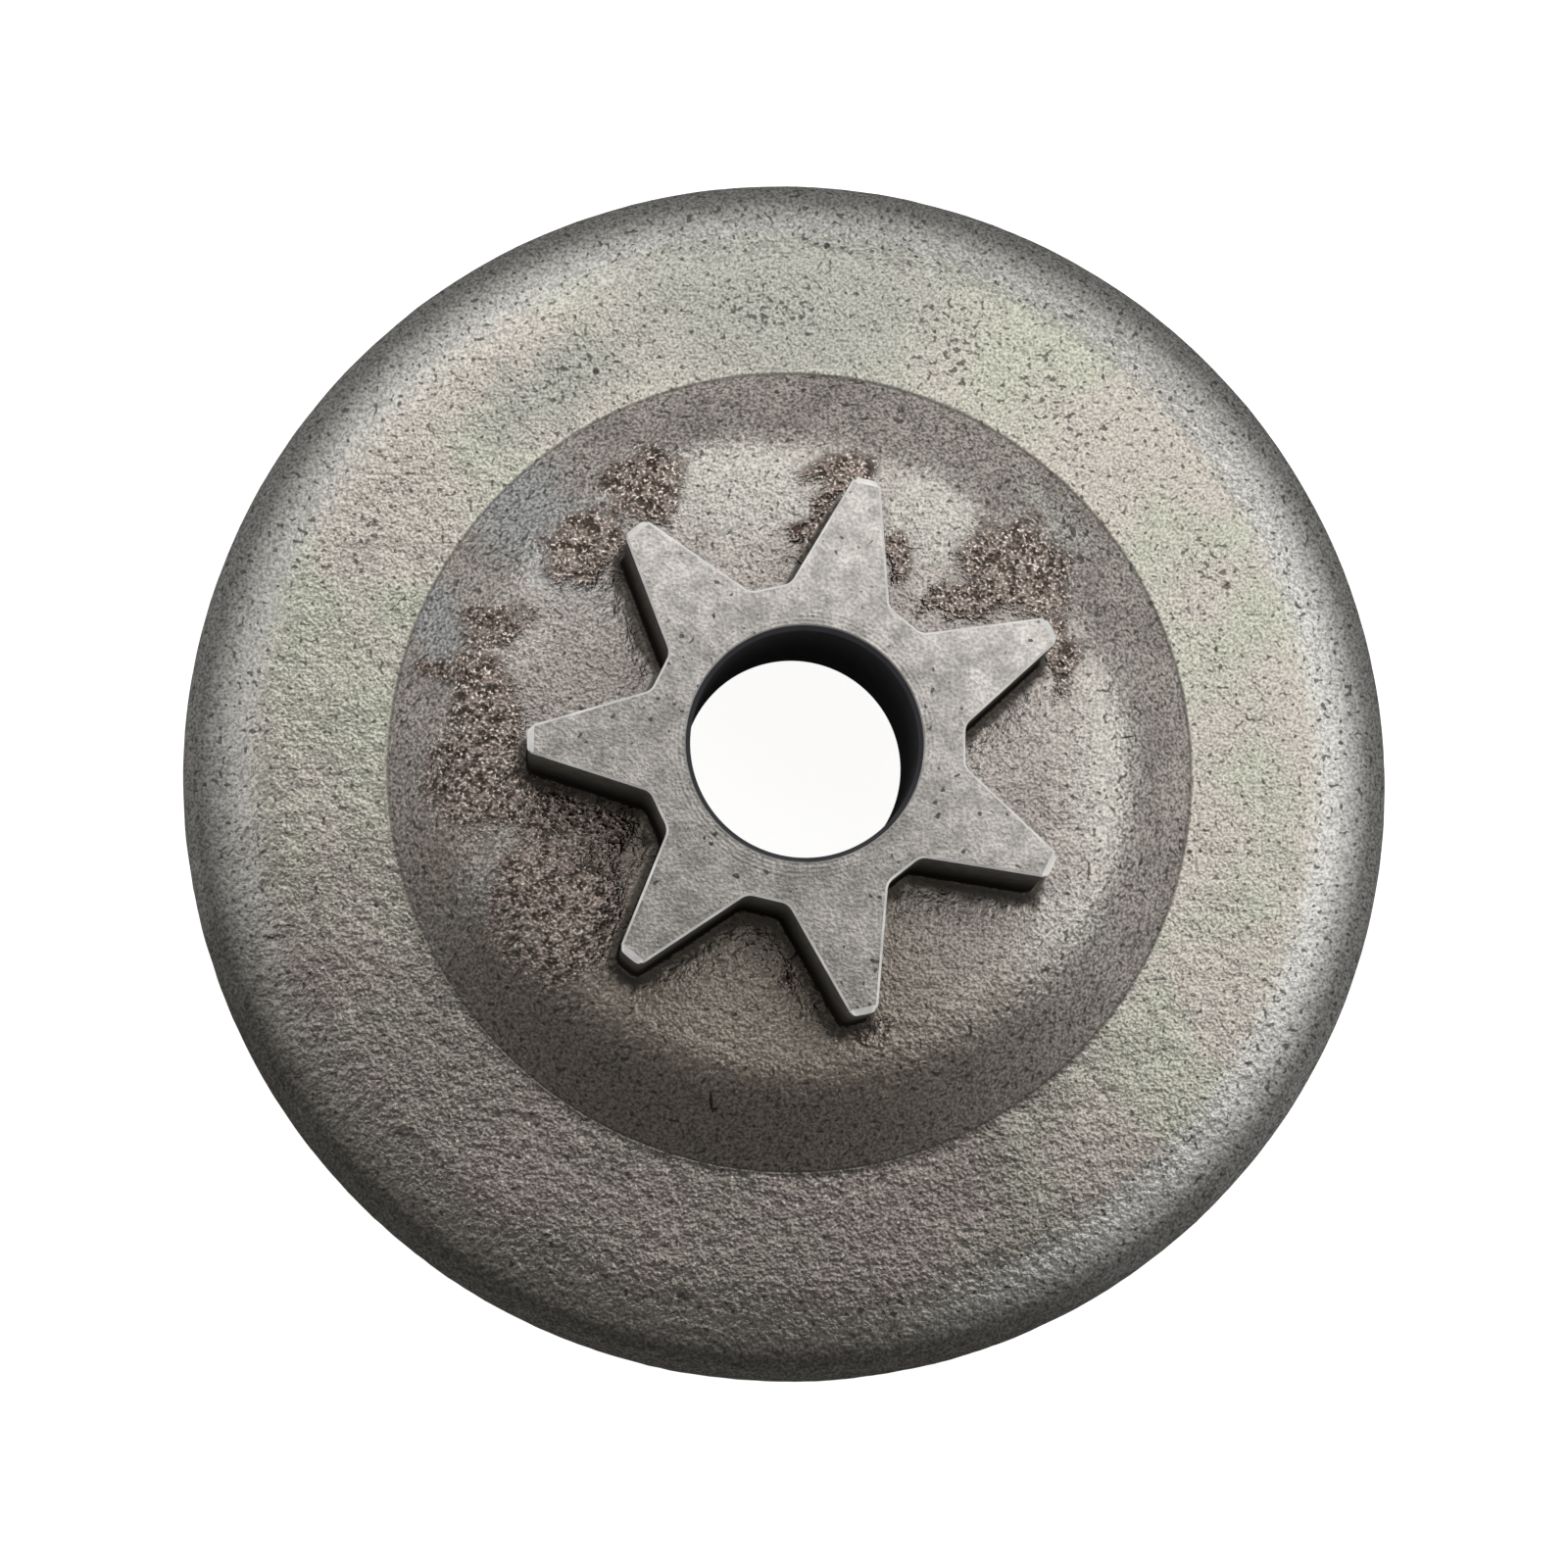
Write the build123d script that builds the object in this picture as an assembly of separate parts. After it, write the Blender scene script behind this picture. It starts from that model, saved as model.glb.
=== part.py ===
from build123d import *
import math
import os

# Clutch drum of a garden saw: a cup with a raised centre and a chain sprocket in one piece of steel.
# Millimetres, Z along the bore, rim of the cup at z = 0, sprocket on top, one tooth toward -X.

# Cup
drum_diameter = 83.9
wall_thickness = 3.35
cup_height = 16.0
falling_edge_width = 5.95
falling_edge_angle = 9.7
falling_edge_radius = 12.0
shoulder_radius = 2.6
inner_corner_bevel = 1.6
rim_outer_chamfer = 0.6
rim_inner_chamfer = 0.4

# Web with its raised centre
web_thickness = 3.5
raised_margin = 4.35
slope_width = 5.25
raised_centre_rise = 2.9
raised_edge_radius = 8.0

# Sprocket
tooth_count = 7
first_tooth_angle = 180.0
sprocket_height = 10.6
tip_diameter = 36.3
root_flat_distance = 10.55
root_flat_width = 2.75
tip_width = 1.7
root_corner_radius = 1.0
tip_corner_bevel = 0.3
tooth_base_bevel = 0.7
tip_turned_chamfer = 0.45
face_edge_break = 0.15

# Bore for the needle cage
bore_diameter = 15.0
bore_chamfer = 0.4

# Notch in the rim that drives the oil pump
notch_width = 5.0
notch_height = 4.0
notch_corner_radius = 0.8

drum_radius = drum_diameter / 2
friction_bore_radius = drum_radius - wall_thickness
ring_flat_radius = drum_radius - falling_edge_width
tip_radius = tip_diameter / 2
raised_centre_radius = tip_radius + raised_margin
crease_foot_radius = raised_centre_radius + slope_width
bore_radius = bore_diameter / 2
shoulder_height = cup_height - falling_edge_width * math.tan(math.radians(falling_edge_angle))
web_inner_height = cup_height - web_thickness
raised_face_height = cup_height + raised_centre_rise
sprocket_face_height = raised_face_height + sprocket_height
bore_start_height = raised_face_height - web_thickness
tooth_step = 360 / tooth_count
match_distance = 0.01
cut_overrun = 1.3


def axis_distance(edge):
    """Distance of an edge's middle from the bore axis."""
    middle = edge @ 0.5
    return math.hypot(middle.X, middle.Y)


def edges_at(solid, height, smallest_radius, largest_radius):
    """Level edges at one height whose middle lies between two radii."""
    level_edges = solid.edges().filter_by_position(Axis.Z, height - match_distance, height + match_distance)
    return [edge for edge in level_edges if smallest_radius < axis_distance(edge) < largest_radius]


def corner_at(sketch, radius, height):
    """The corner of the half section at one radius and height."""
    target = Vector(radius, height)
    return sketch.vertices().sort_by_distance(target)[0]


def half_section():
    """Half section of the cup: wall, shoulder, flat ring, slope and raised centre."""
    slope_angle = math.atan2(raised_centre_rise, slope_width)
    inner_shift = web_thickness * math.tan(slope_angle / 2)
    corners = [
        (friction_bore_radius, 0),
        (drum_radius, 0),
        (drum_radius, shoulder_height),
        (ring_flat_radius, cup_height),
        (crease_foot_radius, cup_height),
        (raised_centre_radius, raised_face_height),
        (bore_radius, raised_face_height),
        (bore_radius, bore_start_height),
        (raised_centre_radius - inner_shift, bore_start_height),
        (crease_foot_radius - inner_shift, web_inner_height),
        (friction_bore_radius, web_inner_height),
    ]
    section = make_face(Polyline(*corners, close=True))
    section = fillet(corner_at(section, drum_radius, shoulder_height), shoulder_radius)
    section = fillet(corner_at(section, ring_flat_radius, cup_height), falling_edge_radius)
    section = fillet(corner_at(section, raised_centre_radius, raised_face_height), raised_edge_radius)
    section = chamfer(corner_at(section, friction_bore_radius, web_inner_height), inner_corner_bevel)
    section = chamfer(corner_at(section, drum_radius, 0), rim_outer_chamfer)
    section = chamfer(corner_at(section, friction_bore_radius, 0), rim_inner_chamfer)
    return section


def cup():
    """The half section turned round the bore axis."""
    return revolve(Plane.XZ * half_section(), Axis.Z)


def tooth_gap():
    """Plan of one gap between two teeth, open past the tips, centred on the X axis."""
    tip_half_angle = math.asin(tip_width / 2 / tip_radius)
    flank_end_angle = math.radians(tooth_step / 2) - tip_half_angle
    flank_end = Vector(tip_radius * math.cos(flank_end_angle), tip_radius * math.sin(flank_end_angle))
    flank_start = Vector(root_flat_distance, root_flat_width / 2)
    past_tip = flank_start + (flank_end - flank_start) * cut_overrun
    outline = Polyline(
        flank_start,
        past_tip,
        Vector(past_tip.X, -past_tip.Y),
        Vector(flank_start.X, -flank_start.Y),
        close=True,
    )
    gap = make_face(outline)
    root_corners = gap.vertices().group_by(Axis.X)[0]
    return fillet(root_corners, root_corner_radius)


def sprocket():
    """A turned blank with a chamfered tip edge and the gaps between the teeth cut through it."""
    foot_depth = web_thickness / 2
    blank_height = sprocket_height + foot_depth
    base = Pos(0, 0, raised_face_height - foot_depth)
    blank = base * Cylinder(tip_radius, blank_height, align=(Align.CENTER, Align.CENTER, Align.MIN))
    blank = chamfer(blank.edges().sort_by(Axis.Z)[-1], tip_turned_chamfer)
    first_gap_angle = first_tooth_angle + tooth_step / 2
    gap = base * extrude(tooth_gap(), blank_height)
    gaps = [Rot(0, 0, first_gap_angle + index * tooth_step) * gap for index in range(tooth_count)]
    toothed = blank - gaps
    upright_edges = toothed.edges().filter_by(Axis.Z)
    tip_corners = [edge for edge in upright_edges if axis_distance(edge) > tip_radius - tip_width / 2]
    return chamfer(tip_corners, tip_corner_bevel)


def rim_notch():
    """Block that cuts the oil pump notch through the wall, opposite the first tooth."""
    wall_middle = drum_radius - wall_thickness / 2
    block = Pos(wall_middle, 0, 0) * Box(2 * cut_overrun * wall_thickness, notch_width, 2 * notch_height)
    roof_corners = block.edges().filter_by(Axis.X).group_by(Axis.Z)[-1]
    return fillet(roof_corners, notch_corner_radius)


def clutch_drum():
    """Cup and sprocket as one solid, with the bore, the rim notch and the broken edges."""
    bore_height = sprocket_face_height - bore_start_height
    bore_middle = bore_start_height + bore_height / 2
    through_bore = Pos(0, 0, bore_middle) * Cylinder(bore_radius, 2 * bore_height)
    drum = cup() + sprocket() - through_bore
    tooth_base = edges_at(drum, raised_face_height, bore_radius + bore_chamfer, tip_radius + bore_chamfer)
    drum = chamfer(tooth_base, tooth_base_bevel)
    face_outline = edges_at(drum, sprocket_face_height, bore_radius + bore_chamfer, tip_radius)
    drum = chamfer(face_outline, face_edge_break)
    bore_edges = edges_at(drum, sprocket_face_height, 0, bore_radius + bore_chamfer)
    bore_edges += edges_at(drum, bore_start_height, 0, bore_radius + bore_chamfer)
    drum = chamfer(bore_edges, bore_chamfer)
    return drum - rim_notch()


os.makedirs("parts", exist_ok=True)
export_step(clutch_drum(), "parts/clutch_drum.step")
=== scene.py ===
import math

import bpy
from mathutils import Matrix, Vector, kdtree, noise


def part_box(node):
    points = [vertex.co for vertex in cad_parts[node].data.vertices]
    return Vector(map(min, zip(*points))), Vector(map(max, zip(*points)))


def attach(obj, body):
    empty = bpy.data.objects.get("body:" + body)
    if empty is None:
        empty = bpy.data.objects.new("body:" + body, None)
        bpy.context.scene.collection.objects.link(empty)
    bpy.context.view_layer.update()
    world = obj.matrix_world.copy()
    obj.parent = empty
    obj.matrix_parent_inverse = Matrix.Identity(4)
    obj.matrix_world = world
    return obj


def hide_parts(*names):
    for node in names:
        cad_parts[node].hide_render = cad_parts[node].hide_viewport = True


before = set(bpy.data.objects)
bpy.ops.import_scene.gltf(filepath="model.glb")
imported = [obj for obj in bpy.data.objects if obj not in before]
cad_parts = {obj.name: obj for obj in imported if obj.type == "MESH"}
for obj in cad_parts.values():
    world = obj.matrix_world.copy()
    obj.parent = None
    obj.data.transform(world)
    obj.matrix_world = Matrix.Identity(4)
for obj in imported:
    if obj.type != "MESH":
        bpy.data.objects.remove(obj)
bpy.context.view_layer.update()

# Sizes in millimetres, in the CAD frame: Z along the bore, rim at z = 0, one tooth toward -X
MM = 0.001
NODE = "clutch_drum"
node_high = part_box(NODE)[1]
DRUM_RADIUS = node_high[0] / MM
FACE_HEIGHT = node_high[2] / MM

WALL_THICKNESS = 3.35
CUP_HEIGHT = 16.0
FALLING_EDGE_WIDTH = 5.95
FALLING_EDGE_ANGLE = 9.7
FALLING_EDGE_RADIUS = 12.0
SHOULDER_RADIUS = 2.6
INNER_CORNER_BEVEL = 1.6
RIM_OUTER_CHAMFER = 0.6
RIM_INNER_CHAMFER = 0.4

WEB_THICKNESS = 3.5
CREASE_RADIUS = 27.75
RAISED_RADIUS = 22.5
RAISED_RISE = 2.9
RAISED_EDGE_RADIUS = 8.0

TEETH = 7
FIRST_TOOTH_ANGLE = 180.0
TIP_RADIUS = 18.15
TIP_WIDTH = 1.7
ROOT_FLAT_DISTANCE = 10.55
ROOT_FLAT_WIDTH = 2.75
ROOT_CORNER_RADIUS = 1.0
TIP_CORNER_RADIUS = 0.6
TOOTH_FOOT_RADIUS = 0.8
TIP_CHAMFER = 0.45
FACE_EDGE_BREAK = 0.16

BORE_RADIUS = 7.5
BORE_CHAMFER = 0.4
BORE_WORN_EDGE = 0.09

NOTCH_WIDTH = 5.0
NOTCH_HEIGHT = 4.0
NOTCH_CORNER_RADIUS = 0.8

FRICTION_RADIUS = DRUM_RADIUS - WALL_THICKNESS
RING_FLAT_RADIUS = DRUM_RADIUS - FALLING_EDGE_WIDTH
SHOULDER_HEIGHT = CUP_HEIGHT - FALLING_EDGE_WIDTH * math.tan(math.radians(FALLING_EDGE_ANGLE))
RAISED_HEIGHT = CUP_HEIGHT + RAISED_RISE
WEB_INNER_HEIGHT = CUP_HEIGHT - WEB_THICKNESS
BORE_START_HEIGHT = RAISED_HEIGHT - WEB_THICKNESS
HALF_PITCH = math.pi / TEETH

# Material slots of the drum's mesh, in order
CAST, FACE, EDGE, FLANK, BORE, TURNED = range(6)
# Mark for the band of the turned chamfer: edge steel on the tooth tips and dark flank between them
TIP = -1

# Steps along half a gap of the sprocket outline
ROOT_STEPS = 5
OUTLINE_CORNER_STEPS = 6
FLANK_STEPS = 18
TIP_STEPS = 2
# Steps round the rounded edges of the drum; the first ones of the tooth foot are as dark as the flank, with
# its painted shade
FOOT_STEPS = 5
DARK_FOOT_STEPS = 2
SOFT_EDGE_STEPS = 5
SHOULDER_STEPS = 9
NOTCH_CORNER_STEPS = 5

# Share of the full cast relief on each part of the drum
FLANK_RELIEF = 0.4
FOOT_RELIEF = 0.5
CENTRE_RELIEF = 0.6
RING_RELIEF = 1.0
WALL_RELIEF = 0.7
INSIDE_RELIEF = 0.8


def rounded_corner(before, corner, after, radius, steps):
    """Points of the arc that rounds one corner of a path in the plane."""
    before, corner, after = Vector(before), Vector(corner), Vector(after)
    toward_before = (before - corner).normalized()
    toward_after = (after - corner).normalized()
    half_angle = toward_before.angle(toward_after) / 2
    centre = corner + (toward_before + toward_after).normalized() * radius / math.sin(half_angle)
    start = corner + toward_before * radius / math.tan(half_angle) - centre
    sweep = math.pi - 2 * half_angle
    turn = 1 if toward_before.x * toward_after.y - toward_before.y * toward_after.x < 0 else -1
    points = []
    for step in range(steps + 1):
        angle = turn * sweep * step / steps
        cosine, sine = math.cos(angle), math.sin(angle)
        points.append(centre + Vector((start.x * cosine - start.y * sine, start.x * sine + start.y * cosine)))
    return points


def between(start, end, steps):
    """Points from start to end, without either of them."""
    return [Vector(start).lerp(Vector(end), step / steps) for step in range(1, steps)]


def half_gap_outline():
    """Sprocket outline from the middle of a gap, on the X axis, to the middle of the next tooth tip."""
    tip_half_angle = math.asin(TIP_WIDTH / 2 / TIP_RADIUS)
    flank_end_angle = HALF_PITCH - tip_half_angle
    gap_middle = Vector((ROOT_FLAT_DISTANCE, 0))
    root = Vector((ROOT_FLAT_DISTANCE, ROOT_FLAT_WIDTH / 2))
    tip_corner = Vector((math.cos(flank_end_angle), math.sin(flank_end_angle))) * TIP_RADIUS
    tip_middle = Vector((math.cos(HALF_PITCH), math.sin(HALF_PITCH))) * TIP_RADIUS
    root_arc = rounded_corner(gap_middle, root, tip_corner, ROOT_CORNER_RADIUS, OUTLINE_CORNER_STEPS)
    tip_arc = rounded_corner(root, tip_corner, tip_middle, TIP_CORNER_RADIUS, OUTLINE_CORNER_STEPS)
    points = [gap_middle] + between(gap_middle, root_arc[0], ROOT_STEPS) + root_arc
    points += between(root_arc[-1], tip_arc[0], FLANK_STEPS) + tip_arc
    points += between(tip_arc[-1], tip_middle, TIP_STEPS) + [tip_middle]
    return points


def sprocket_outline():
    """The whole outline as points and outward normals, once round, starting at a tooth tip."""
    half = half_gap_outline()
    mirrored = [Vector((point.x, -point.y)) for point in reversed(half[1:])]
    one_gap = mirrored + half[:-1]
    points = []
    for index in range(TEETH):
        middle = math.radians(FIRST_TOOTH_ANGLE) + HALF_PITCH * (2 * index + 1)
        turn = Matrix.Rotation(middle, 2)
        points += [turn @ point for point in one_gap]
    normals = []
    for index in range(len(points)):
        along = points[(index + 1) % len(points)] - points[index - 1]
        normals.append(Vector((along.y, -along.x)).normalized())
    return points, normals


OUTLINE, OUTLINE_NORMALS = sprocket_outline()


def ring_row(radius, height):
    """One row of the mesh: a circle, with a point under each point of the sprocket outline."""
    row = []
    for point in OUTLINE:
        spoke = point.normalized() * radius
        row.append(Vector((spoke.x, spoke.y, height)))
    return row


def tooth_row(offset, height):
    """One row of the mesh: the sprocket outline moved out by offset, inside the turned tip chamfer."""
    largest = TIP_RADIUS - max(0.0, height - (FACE_HEIGHT - TIP_CHAMFER))
    row = []
    for point, normal in zip(OUTLINE, OUTLINE_NORMALS):
        moved = point + normal * offset
        if offset <= 0 and moved.length > largest:
            moved = moved.normalized() * largest
        row.append(Vector((moved.x, moved.y, height)))
    return row


class Surface:
    """A closed grid of rows round the bore axis, with a material for each band and a relief for each row."""

    def __init__(self, first_row):
        self.rows = [first_row]
        self.materials = []
        self.relief = [0.0]

    def add(self, row, material, relief=0.0):
        """One more row, with the material of the band that leads to it."""
        self.rows.append(row)
        self.materials.append(material)
        self.relief.append(relief)

    def toward(self, row, material, steps, relief=0.0):
        """Evenly spaced rows from the last row to the given one."""
        start = self.rows[-1]
        for step in range(1, steps + 1):
            points = [here.lerp(there, step / steps) for here, there in zip(start, row)]
            self.add(points, material, relief)

    def straight(self, radius, height, material, steps=1, relief=0.0):
        """Evenly spaced rows from the last row to a circle."""
        self.toward(ring_row(radius, height), material, steps, relief)

    def turned(self, path, material, relief):
        """A circle for each radius and height of a path."""
        for radius, height in path:
            self.add(ring_row(radius, height), material, relief)


def add_sprocket(surface):
    """Bore, sprocket face with its broken edge, tooth walls and the hollow foot where they meet the web."""
    chamfer_radius = BORE_RADIUS + BORE_CHAMFER
    foot_top = RAISED_HEIGHT + TOOTH_FOOT_RADIUS
    surface.straight(BORE_RADIUS, BORE_START_HEIGHT + BORE_CHAMFER, BORE)
    surface.straight(BORE_RADIUS, FACE_HEIGHT - BORE_CHAMFER, BORE, steps=8)
    surface.straight(chamfer_radius - BORE_WORN_EDGE, FACE_HEIGHT - BORE_WORN_EDGE, BORE, steps=2)
    surface.straight(chamfer_radius, FACE_HEIGHT, EDGE)
    surface.toward(tooth_row(-FACE_EDGE_BREAK, FACE_HEIGHT), FACE, steps=10)
    surface.add(tooth_row(0, FACE_HEIGHT - FACE_EDGE_BREAK), EDGE)
    surface.add(tooth_row(0, FACE_HEIGHT - TIP_CHAMFER), TIP)
    surface.toward(tooth_row(0, foot_top), FLANK, steps=8, relief=FLANK_RELIEF)
    for step in range(1, FOOT_STEPS + 1):
        angle = math.pi / 2 * step / FOOT_STEPS
        offset = TOOTH_FOOT_RADIUS * (1 - math.cos(angle))
        height = foot_top - TOOTH_FOOT_RADIUS * math.sin(angle)
        # The first foot rows get the flank's painted shade
        material = FLANK if step <= DARK_FOOT_STEPS else CAST
        surface.add(tooth_row(offset, height), material, FOOT_RELIEF)


def add_web_and_shoulder(surface):
    """Raised centre, slope, crease, flat ring, falling edge and shoulder."""
    raised_corner = (RAISED_RADIUS, RAISED_HEIGHT)
    crease = (CREASE_RADIUS, CUP_HEIGHT)
    ring_end = (RING_FLAT_RADIUS, CUP_HEIGHT)
    shoulder_corner = (DRUM_RADIUS, SHOULDER_HEIGHT)
    crest = rounded_corner((0, RAISED_HEIGHT), raised_corner, crease, RAISED_EDGE_RADIUS, SOFT_EDGE_STEPS)
    fall = rounded_corner(crease, ring_end, shoulder_corner, FALLING_EDGE_RADIUS, SOFT_EDGE_STEPS)
    shoulder = rounded_corner(ring_end, shoulder_corner, (DRUM_RADIUS, 0), SHOULDER_RADIUS, SHOULDER_STEPS)
    surface.straight(*crest[0], CAST, steps=14, relief=CENTRE_RELIEF)
    surface.turned(crest[1:], CAST, CENTRE_RELIEF)
    surface.straight(*crease, CAST, steps=11, relief=CENTRE_RELIEF)
    surface.straight(*fall[0], CAST, steps=22, relief=RING_RELIEF)
    surface.turned(fall[1:], CAST, RING_RELIEF)
    surface.straight(*shoulder[0], CAST, steps=5, relief=RING_RELIEF)
    surface.turned(shoulder[1:], CAST, WALL_RELIEF)


def add_wall_and_inside(surface):
    """Outer wall, rim, friction bore and the inner face of the web, back to the bore."""
    slope_angle = math.atan2(RAISED_RISE, CREASE_RADIUS - RAISED_RADIUS)
    inner_shift = WEB_THICKNESS * math.tan(slope_angle / 2)
    surface.straight(DRUM_RADIUS, RIM_OUTER_CHAMFER, CAST, steps=14, relief=WALL_RELIEF)
    surface.straight(DRUM_RADIUS - RIM_OUTER_CHAMFER, 0, TURNED)
    surface.straight(FRICTION_RADIUS + RIM_INNER_CHAMFER, 0, TURNED, steps=3)
    surface.straight(FRICTION_RADIUS, RIM_INNER_CHAMFER, TURNED)
    surface.straight(FRICTION_RADIUS, WEB_INNER_HEIGHT - INNER_CORNER_BEVEL, TURNED, steps=10)
    surface.straight(FRICTION_RADIUS - INNER_CORNER_BEVEL, WEB_INNER_HEIGHT, TURNED, steps=2)
    surface.straight(CREASE_RADIUS - inner_shift, WEB_INNER_HEIGHT, CAST, steps=12, relief=INSIDE_RELIEF)
    surface.straight(RAISED_RADIUS - inner_shift, BORE_START_HEIGHT, CAST, steps=6, relief=INSIDE_RELIEF)
    surface.straight(BORE_RADIUS + BORE_CHAMFER, BORE_START_HEIGHT, CAST, steps=12, relief=INSIDE_RELIEF)


def drum_surface():
    """The drum's skin as one closed grid, whose last row would be the first one again."""
    surface = Surface(ring_row(BORE_RADIUS + BORE_CHAMFER, BORE_START_HEIGHT))
    add_sprocket(surface)
    add_web_and_shoulder(surface)
    add_wall_and_inside(surface)
    surface.rows.pop()
    surface.relief.pop()
    return surface


# Relief that is real geometry: depths and sizes of its lumps and of its finer peel, in millimetres
LUMP_DEPTH = 0.06
LUMP_SIZE = 3.1
LUMP_FALLOFF = 0.8
LUMP_OCTAVES = 3
PEEL_DEPTH = 0.04
ROUGH_PEEL_DEPTH = 0.11
PEEL_SIZE = 0.95
# Direction of the rougher side of the casting in degrees, where the colours are also darkened as painted
# shade, and how its deep peel fades in toward it
ROUGH_SHADED_SIDE_ANGLE = 252.0
ROUGH_PEEL_RANGE = (0.1, 0.8)
OCTAVE_RATIO = 2.0


def smooth_step(value, low, high):
    """0 below low, 1 above high and a smooth rise between."""
    share = min(1.0, max(0.0, (value - low) / (high - low)))
    return share * share * (3 - 2 * share)


def clouds(point, falloff, octaves):
    """Soft noise of several sizes, about 0 to 1."""
    return 0.5 + 0.5 * noise.fractal(point, falloff, OCTAVE_RATIO, octaves)


def facing(point, angle):
    """1 for a point straight toward a direction in degrees, and -1 for one straight away from it."""
    return math.cos(math.atan2(point.y, point.x) - math.radians(angle))


def relief_depth(point):
    """How far a cast surface sinks below its true form at one point."""
    rough = 0.0
    if point.xy.length > CREASE_RADIUS:
        rough = smooth_step(facing(point, ROUGH_SHADED_SIDE_ANGLE), *ROUGH_PEEL_RANGE)
    peel_depth = PEEL_DEPTH + (ROUGH_PEEL_DEPTH - PEEL_DEPTH) * rough
    peel = 0.5 + 0.5 * noise.noise(point / PEEL_SIZE)
    return LUMP_DEPTH * clouds(point / LUMP_SIZE, LUMP_FALLOFF, LUMP_OCTAVES) + peel_depth * peel


def grid_faces(row_count):
    """Point numbers of the grid's faces, row by row."""
    columns = len(OUTLINE)
    faces = []
    for row in range(row_count):
        below = (row + 1) % row_count
        for column in range(columns):
            beside = (column + 1) % columns
            faces.append((row * columns + column, below * columns + column,
                          below * columns + beside, row * columns + beside))
    return faces


def face_materials(surface):
    """Material of each face, in the order of grid_faces."""
    materials = []
    for band in surface.materials:
        for point in OUTLINE:
            tip_material = EDGE if point.length > TIP_RADIUS - TIP_CHAMFER else FLANK
            materials.append(tip_material if band == TIP else band)
    return materials


def press_relief(mesh, surface):
    """Sinks the cast surfaces along their normals."""
    columns = len(OUTLINE)
    normals = [vertex.normal.copy() for vertex in mesh.vertices]
    for vertex, normal in zip(mesh.vertices, normals):
        share = surface.relief[vertex.index // columns]
        if share > 0:
            vertex.co -= normal * share * relief_depth(vertex.co / MM) * MM
    mesh.update()


def drum_mesh():
    """The drum's grid as a mesh in metres, with its cast relief."""
    surface = drum_surface()
    points = [point * MM for row in surface.rows for point in row]
    mesh = bpy.data.meshes.new("clutch_drum_skin")
    mesh.from_pydata(points, [], grid_faces(len(surface.rows)))
    mesh.polygons.foreach_set("material_index", face_materials(surface))
    mesh.update()
    press_relief(mesh, surface)
    return mesh


def notch_cutter():
    """Block with a rounded roof that cuts the oil pump notch through the rim at +X."""
    half = NOTCH_WIDTH / 2
    corner = (half, NOTCH_HEIGHT)
    roof = rounded_corner((half, 0), corner, (0, NOTCH_HEIGHT), NOTCH_CORNER_RADIUS, NOTCH_CORNER_STEPS)
    right = [Vector((half, -NOTCH_HEIGHT))] + roof
    section = right + [Vector((-point.x, point.y)) for point in reversed(right)]
    ends = (FRICTION_RADIUS - WALL_THICKNESS, DRUM_RADIUS + WALL_THICKNESS)
    points = [Vector((x, point.x, point.y)) * MM for x in ends for point in section]
    count = len(section)
    faces = [tuple(reversed(range(count))), tuple(range(count, 2 * count))]
    for index in range(count):
        after = (index + 1) % count
        faces.append((index, after, count + after, count + index))
    mesh = bpy.data.meshes.new("notch_cutter")
    mesh.from_pydata(points, [], faces)
    mesh.update()
    return bpy.data.objects.new("notch_cutter", mesh)


def cut_notch(drum, cut_material):
    """Cuts the rim notch and keeps the result as the drum's own mesh."""
    cutter = notch_cutter()
    cutter.data.materials.append(cut_material)
    bpy.context.collection.objects.link(cutter)
    boolean = drum.modifiers.new("notch", "BOOLEAN")
    boolean.operation = "DIFFERENCE"
    boolean.solver = "EXACT"
    boolean.object = cutter
    bpy.context.view_layer.update()
    evaluated = drum.evaluated_get(bpy.context.evaluated_depsgraph_get())
    cut = bpy.data.meshes.new_from_object(evaluated)
    drum.modifiers.clear()
    drum.data = cut
    bpy.data.objects.remove(cutter)


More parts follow.
